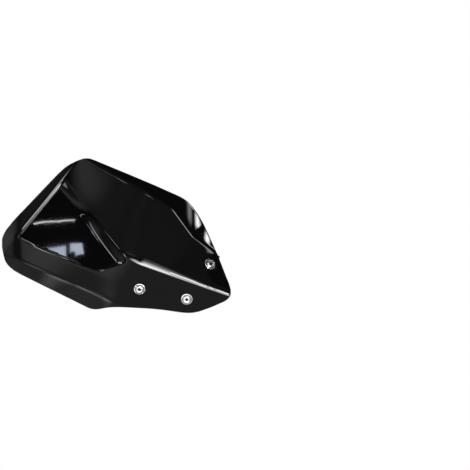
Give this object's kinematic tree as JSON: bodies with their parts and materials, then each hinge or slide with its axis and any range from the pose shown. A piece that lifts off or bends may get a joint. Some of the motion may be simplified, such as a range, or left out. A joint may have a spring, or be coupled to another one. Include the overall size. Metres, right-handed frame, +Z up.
{
  "type": "motorcycle hand guard",
  "caption": "Left-hand motorcycle hand guard: a gloss black moulded shell with a recessed panel and bevelled edges, on a bent steel bracket with a handlebar clamp.",
  "frame": {"origin": "centre of the handlebar bore in the clamp", "axes": "+X runs inboard along the handlebar, +Y runs back towards the rider, +Z is up"},
  "size_m": [0.2711, 0.0933, 0.1834],
  "materials": {
    "shell": "gloss black moulding",
    "stainless": "bright stainless",
    "nylon": "matt black nylon",
    "black_steel": "satin black powder coat",
    "zinc_steel": "bright zinc plate",
    "cast_alloy": "black anodised",
    "dark_steel": "black oxide"
  },
  "bodies": {
    "root": {"guard_shell": "shell", "screw_lower_outer": "stainless", "screw_lower_inner": "stainless", "screw_upper": "stainless", "spacer_lower_outer": "nylon", "spacer_lower_inner": "nylon", "spacer_upper": "nylon", "bracket": "black_steel", "washer_lower_outer": "zinc_steel", "washer_lower_inner": "zinc_steel", "washer_upper": "zinc_steel", "nut_lower_outer": "zinc_steel", "nut_lower_inner": "zinc_steel", "nut_upper": "zinc_steel", "stay_bolt": "zinc_steel", "stay_washer": "zinc_steel", "clamp_body": "cast_alloy", "clamp_cap": "cast_alloy", "clamp_screw_upper": "dark_steel", "clamp_screw_lower": "dark_steel", "clamp_washer_upper": "zinc_steel", "clamp_washer_lower": "zinc_steel"}
  },
  "joints": []
}
